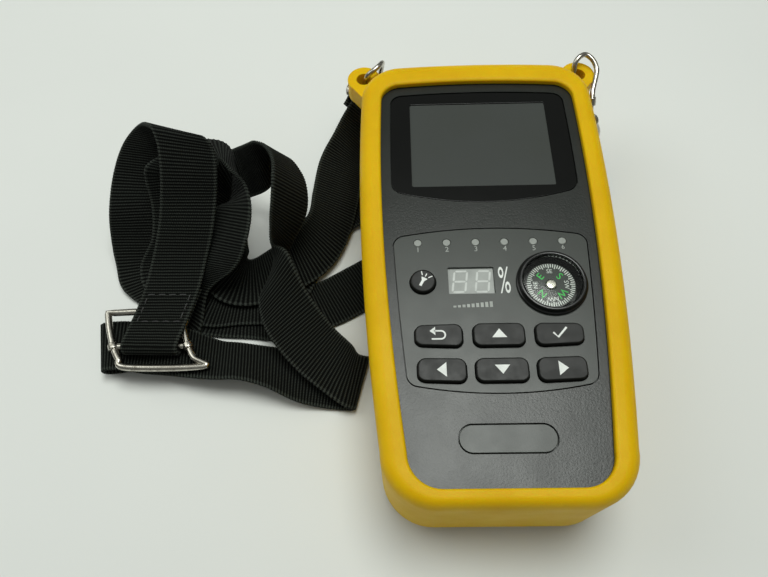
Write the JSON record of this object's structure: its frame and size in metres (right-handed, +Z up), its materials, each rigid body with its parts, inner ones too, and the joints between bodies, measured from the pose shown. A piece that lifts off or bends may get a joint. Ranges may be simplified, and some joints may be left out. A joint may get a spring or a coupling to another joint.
{
  "type": "satellite signal meter",
  "caption": "Handheld satellite signal meter in a yellow rubber holster, with a screen, sprung keys, compass, end connectors and a webbing carrying strap on wire clips.",
  "frame": {"origin": "on the table, under the middle of the box round the holster and its end connector, with the meter lying on its back", "axes": "+Z up out of the front face, +Y towards the top end with the connectors, +X to the right of the front face"},
  "size_m": [0.1991, 0.1786, 0.0545],
  "materials": {
    "yellow_rubber": "soft moulded rubber, slightly shiny from handling",
    "charcoal_plastic": "fine moulded grain",
    "panel_plastic": "printed panel with fine grain",
    "black_plastic": "smooth black moulding",
    "key_rubber": "matt silicone",
    "clear_plastic": "clear polished plastic",
    "milky_plastic": "milky translucent plastic",
    "green_board": "solder mask on laminate",
    "plated_steel": "bright nickel plate, lightly worn",
    "black_webbing": "woven polypropylene, fine cross ribs",
    "pack_wrap": "shrink wrap"
  },
  "bodies": {
    "case": {"holster": "yellow_rubber", "front_cover": "charcoal_plastic", "control_panel": "panel_plastic", "badge_plate": "panel_plastic", "display_window": "clear_plastic", "lcd_module": "black_plastic", "rear_cover": "charcoal_plastic", "battery_door": "charcoal_plastic", "battery_pack": "pack_wrap", "case_screw_1": "plated_steel", "case_screw_2": "plated_steel", "case_screw_3": "plated_steel", "case_screw_4": "plated_steel", "main_board": "green_board", "tuner_can": "plated_steel", "key_mat": "milky_plastic", "torch_switch": "black_plastic", "digit_display": "milky_plastic", "led_pipe_1": "milky_plastic", "led_pipe_2": "milky_plastic", "led_pipe_3": "milky_plastic", "led_pipe_4": "milky_plastic", "led_pipe_5": "milky_plastic", "led_pipe_6": "milky_plastic", "compass_housing": "black_plastic", "compass_pivot": "plated_steel", "compass_lens": "clear_plastic", "end_panel": "charcoal_plastic", "tuner_connector": "plated_steel", "connector_nut": "plated_steel", "power_jack": "black_plastic", "video_jack": "black_plastic", "torch_lamp": "clear_plastic", "power_switch": "plated_steel", "buzzer": "black_plastic", "left_hook": "plated_steel", "right_hook": "plated_steel", "left_ring": "plated_steel", "right_ring": "plated_steel", "slider_frame": "plated_steel", "slider_bar": "plated_steel", "strap": "black_webbing"},
    "key_return": {"key_return": "key_rubber"},
    "key_up": {"key_up": "key_rubber"},
    "key_ok": {"key_ok": "key_rubber"},
    "key_left": {"key_left": "key_rubber"},
    "key_down": {"key_down": "key_rubber"},
    "key_right": {"key_right": "key_rubber"},
    "torch_button": {"torch_button": "key_rubber"},
    "compass_dial": {"compass_dial": "black_plastic"},
    "power_slider": {"power_slider": "black_plastic"},
    "left_gate": {"left_gate": "plated_steel"},
    "left_swivel": {"left_swivel": "plated_steel"},
    "right_gate": {"right_gate": "plated_steel"},
    "right_swivel": {"right_swivel": "plated_steel"}
  },
  "joints": [
    {"name": "key_return_press", "type": "slide", "parent": "case", "child": "key_return", "axis": [0, 0, -1], "range_m": [0, 0.0008], "stiffness_N_per_m": 600},
    {"name": "key_up_press", "type": "slide", "parent": "case", "child": "key_up", "axis": [0, 0, -1], "range_m": [0, 0.0008], "stiffness_N_per_m": 600},
    {"name": "key_ok_press", "type": "slide", "parent": "case", "child": "key_ok", "axis": [0, 0, -1], "range_m": [0, 0.0008], "stiffness_N_per_m": 600},
    {"name": "key_left_press", "type": "slide", "parent": "case", "child": "key_left", "axis": [0, 0, -1], "range_m": [0, 0.0008], "stiffness_N_per_m": 600},
    {"name": "key_down_press", "type": "slide", "parent": "case", "child": "key_down", "axis": [0, 0, -1], "range_m": [0, 0.0008], "stiffness_N_per_m": 600},
    {"name": "key_right_press", "type": "slide", "parent": "case", "child": "key_right", "axis": [0, 0, -1], "range_m": [0, 0.0008], "stiffness_N_per_m": 600},
    {"name": "torch_button_press", "type": "slide", "parent": "case", "child": "torch_button", "axis": [0, 0, -1], "range_m": [0, 0.0008], "stiffness_N_per_m": 600},
    {"name": "compass_turn", "type": "hinge", "parent": "case", "child": "compass_dial", "pos_m": [0.018, -0.01955, 0.0423], "axis": [0, 0, 1], "continuous": true},
    {"name": "power_slide", "type": "slide", "parent": "case", "child": "power_slider", "axis": [1, 0, 0], "range_m": [0, 0.003]},
    {"name": "left_gate_open", "type": "hinge", "parent": "case", "child": "left_gate", "pos_m": [-0.0384, 0.08495, 0.0208], "axis": [-0.8034, 0.5427, 0.2451], "range_deg": [0, 7], "stiffness_Nm_per_rad": 0.02},
    {"name": "left_swivel_turn", "type": "hinge", "parent": "case", "child": "left_swivel", "pos_m": [-0.0375, 0.08675, 0.0195], "axis": [-0.755, 0.3374, -0.5623], "range_deg": [-12, 12]},
    {"name": "right_gate_open", "type": "hinge", "parent": "case", "child": "right_gate", "pos_m": [0.0459, 0.06725, 0.031], "axis": [0.9562, 0.2223, -0.1906], "range_deg": [0, 7], "stiffness_Nm_per_rad": 0.02},
    {"name": "right_swivel_turn", "type": "hinge", "parent": "case", "child": "right_swivel", "pos_m": [0.0464, 0.06565, 0.0326], "axis": [0.0724, -0.5308, -0.8444], "range_deg": [-12, 12]}
  ]
}
